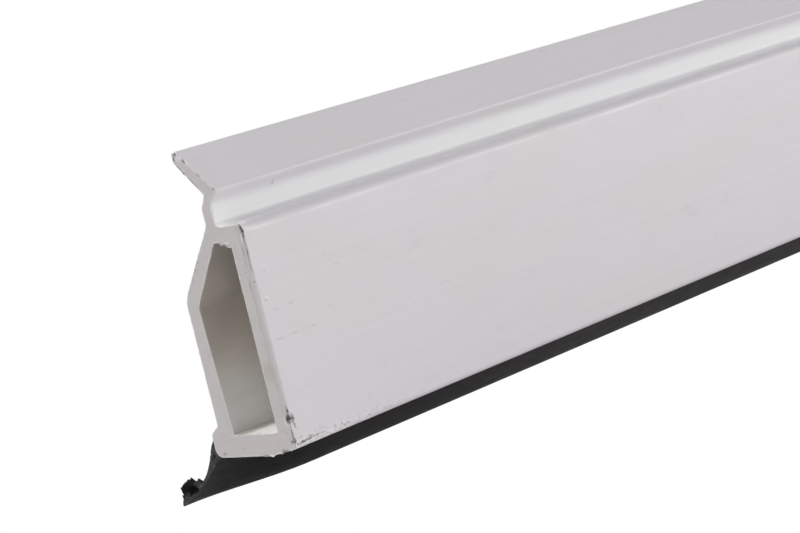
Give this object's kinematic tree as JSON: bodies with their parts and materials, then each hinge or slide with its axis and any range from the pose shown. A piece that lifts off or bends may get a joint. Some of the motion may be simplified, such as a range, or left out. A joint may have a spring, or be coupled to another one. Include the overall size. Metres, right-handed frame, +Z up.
{
  "type": "door sweep",
  "caption": "Straight door sweep: a rigid hollow white plastic bar with a back-leaning top flange, a cove and a soft black sealing lip along its lower back corner.",
  "frame": {"origin": "on the flat outer face of the lower back wall, halfway along the bar and halfway up that wall", "axes": "+X along the bar, +Y back towards the door, +Z up"},
  "size_m": [0.914, 0.0262, 0.0494],
  "materials": {
    "white_pvc": "satin extruded rigid PVC with saw-cut ends",
    "black_lip": "soft satin-matt flexible PVC"
  },
  "bodies": {
    "bar": {"carrier": "white_pvc", "lip_root": "black_lip"},
    "lip": {"lip_blade": "black_lip"}
  },
  "joints": [
    {"name": "lip_flex", "type": "hinge", "parent": "bar", "child": "lip", "pos_m": [0, 0.0028, -0.01268], "axis": [1, 0, 0], "range_deg": [-35, 45], "stiffness_Nm_per_rad": 0.05}
  ]
}
